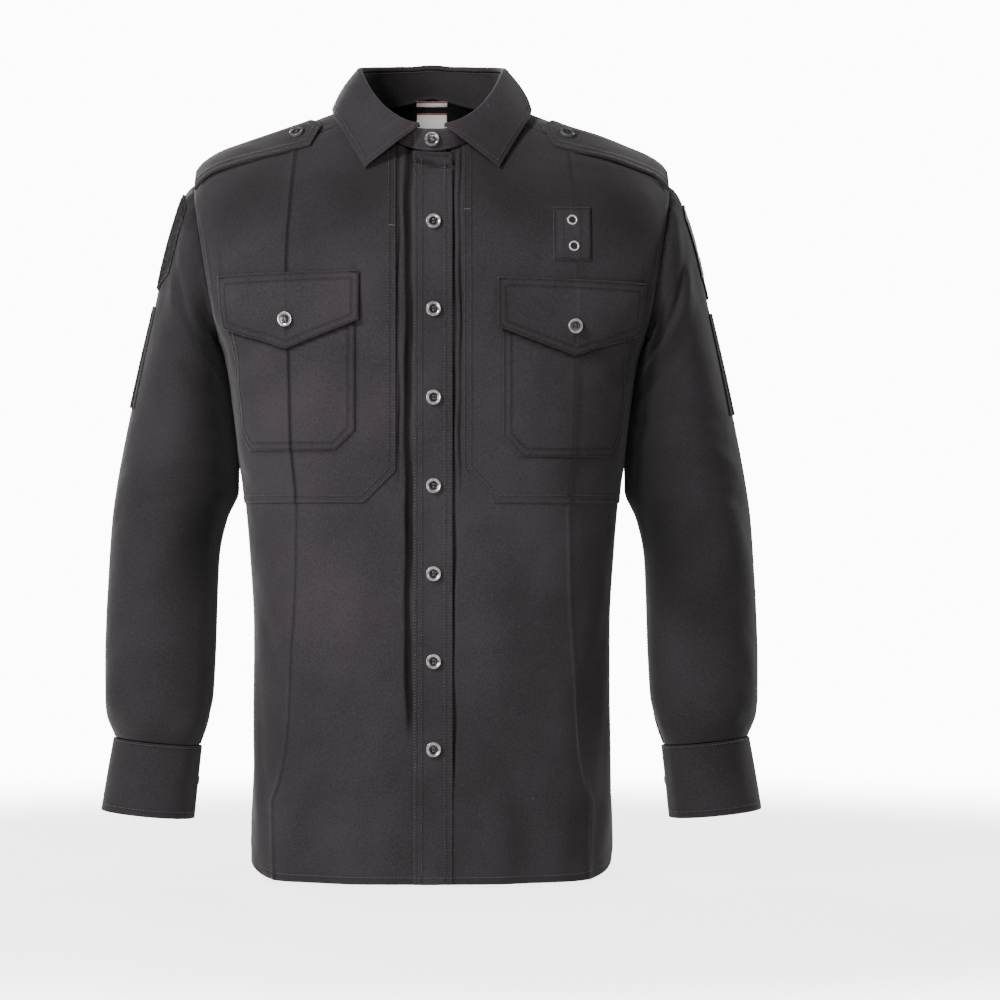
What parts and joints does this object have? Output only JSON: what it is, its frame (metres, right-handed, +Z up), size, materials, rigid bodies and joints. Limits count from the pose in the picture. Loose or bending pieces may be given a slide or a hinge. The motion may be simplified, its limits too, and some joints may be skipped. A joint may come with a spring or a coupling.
{
  "type": "uniform shirt",
  "caption": "Long-sleeved uniform shirt, filled out as if worn, with shoulder straps, flap pockets, badge tab, sleeve patches and a pleated back.",
  "frame": {"origin": "middle of the neck opening at the height where the collar seam meets the shoulders, where the wearer's shoulders hold the shirt", "axes": "+Z up along the buttoned front from hem to collar, +X towards the wearer's left sleeve, the buttoned front faces -Y"},
  "size_m": [0.6538, 0.2548, 0.8137],
  "materials": {
    "twill": "dark charcoal twill, matte with a faint sheen",
    "loop_tape": "black fuzzy loop tape",
    "embroidery": "embroidered patch in white, black and gold thread",
    "label_tape": "white woven satin label, bare",
    "button_resin": "polished black resin",
    "eyelet_metal": "bright nickel"
  },
  "bodies": {
    "root": {"front_left": "twill", "front_right": "twill", "chest_panel_left": "twill", "chest_panel_right": "twill", "placket": "twill", "back_centre": "twill", "back_side_left": "twill", "back_side_right": "twill", "yoke": "twill", "sleeve_left": "twill", "sleeve_right": "twill", "sleeve_placket_left": "twill", "sleeve_placket_right": "twill", "cuff_left": "twill", "cuff_right": "twill", "collar_stand": "twill", "collar_leaf": "twill", "pocket_left": "twill", "pocket_right": "twill", "flap_left": "twill", "flap_right": "twill", "shoulder_strap_left": "twill", "shoulder_strap_right": "twill", "badge_tab": "twill", "eyelet_upper": "eyelet_metal", "eyelet_lower": "eyelet_metal", "patch_left": "embroidery", "patch_pad_right": "loop_tape", "loop_pad_left": "loop_tape", "loop_pad_right": "loop_tape", "neck_label_upper": "label_tape", "neck_label_lower": "label_tape", "collar_button": "button_resin", "placket_button_1": "button_resin", "placket_button_2": "button_resin", "placket_button_3": "button_resin", "placket_button_4": "button_resin", "placket_button_5": "button_resin", "placket_button_6": "button_resin", "placket_button_7": "button_resin", "flap_button_left": "button_resin", "flap_button_right": "button_resin", "strap_button_left": "button_resin", "strap_button_right": "button_resin", "cuff_button_left": "button_resin", "cuff_button_right": "button_resin"}
  },
  "joints": []
}
